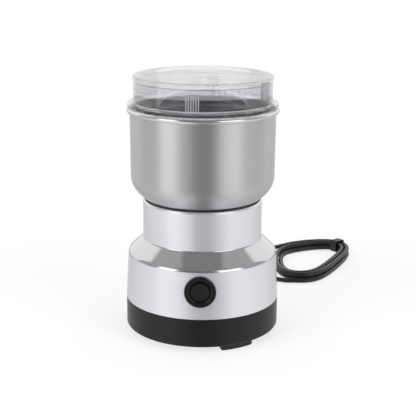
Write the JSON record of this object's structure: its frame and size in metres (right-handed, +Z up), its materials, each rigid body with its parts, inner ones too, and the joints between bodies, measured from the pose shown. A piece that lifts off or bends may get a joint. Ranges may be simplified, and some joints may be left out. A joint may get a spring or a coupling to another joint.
{
  "type": "electric grinder",
  "caption": "Electric grinder: round body with a push button, necked silver housing, steel bowl with bent blades, clear lift-off lid and a cord tied in a hank.",
  "frame": {"origin": "the point on the table under the middle of the drive shaft, level with the undersides of the feet", "axes": "+Z up along the drive shaft, -Y out of the front through the push button, +Y to the back where the cord leaves, +X to the right as seen from the front"},
  "size_m": [0.1747, 0.2362, 0.1766],
  "materials": {
    "base_black": "satin black moulding",
    "foot_rubber": "matte",
    "screw_steel": "zinc plated",
    "housing_silver": "silver, fine metallic, satin",
    "gasket_black": "matte",
    "bowl_steel": "polished",
    "bushing_black": "matte",
    "nut_steel": "zinc plated",
    "seal_rubber": "matte",
    "lid_clear": "clear, polished",
    "bezel_black": "gloss",
    "button_black": "satin",
    "spring_steel": "bright wire",
    "switch_black": "matte",
    "contact_brass": "stamped",
    "bracket_cast": "as cast",
    "bearing_steel": "ground",
    "lamination_steel": "oiled laminations",
    "winding_copper": "enamelled copper",
    "brush_carbon": "matte",
    "fan_plastic": "matte",
    "blade_steel": "ground and polished",
    "wire_jacket": "matte",
    "cord_black": "soft matte jacket",
    "tie_black": "matte",
    "pin_metal": "nickel plated"
  },
  "bodies": {
    "body": {"base_cover": "base_black", "feet": "foot_rubber", "base_screws": "screw_steel", "upper_housing": "housing_silver", "bowl_gasket": "gasket_black", "bowl": "bowl_steel", "bowl_bushing": "bushing_black", "bushing_nut": "nut_steel", "shaft_seal": "seal_rubber", "button_bezel": "bezel_black", "switch_body": "switch_black", "switch_nut": "nut_steel", "switch_terminals": "contact_brass", "motor_dampers": "seal_rubber", "motor_screws": "screw_steel", "upper_bracket": "bracket_cast", "upper_bearing": "bearing_steel", "stator_core": "lamination_steel", "field_coils": "winding_copper", "lower_bracket": "bracket_cast", "lower_bearing": "bearing_steel", "through_bolts": "screw_steel", "brush_holders": "contact_brass", "carbon_brushes": "brush_carbon", "brush_springs": "spring_steel", "brush_caps": "contact_brass", "cord_clamp": "fan_plastic", "clamp_screws": "screw_steel", "lead_wires": "wire_jacket", "strain_relief": "cord_black", "power_cord": "cord_black", "cord_hank": "cord_black", "cord_tie": "tie_black", "plug_lead": "cord_black", "plug_body": "cord_black", "plug_pins": "pin_metal"},
    "lid": {"lid": "lid_clear"},
    "button": {"button_cap": "button_black", "button_spring": "spring_steel"},
    "rotor": {"shaft": "bearing_steel", "armature_core": "lamination_steel", "armature_windings": "winding_copper", "commutator": "winding_copper", "cooling_fan": "fan_plastic", "blade_spacer": "blade_steel", "blade_lower": "blade_steel", "blade_upper": "blade_steel", "blade_washer": "blade_steel", "blade_nut": "blade_steel"}
  },
  "joints": [
    {"name": "lid_lift", "type": "slide", "parent": "body", "child": "lid", "axis": [0, 0, 1], "range_m": [0, 0.06]},
    {"name": "button_press", "type": "slide", "parent": "body", "child": "button", "axis": [0, 1, 0], "range_m": [0, 0.003], "stiffness_N_per_m": 350, "springref_m": -0.002, "deforming": ["button_spring"]},
    {"name": "rotor_spin", "type": "hinge", "parent": "body", "child": "rotor", "pos_m": [0, 0, 0], "axis": [0, 0, 1], "continuous": true}
  ]
}
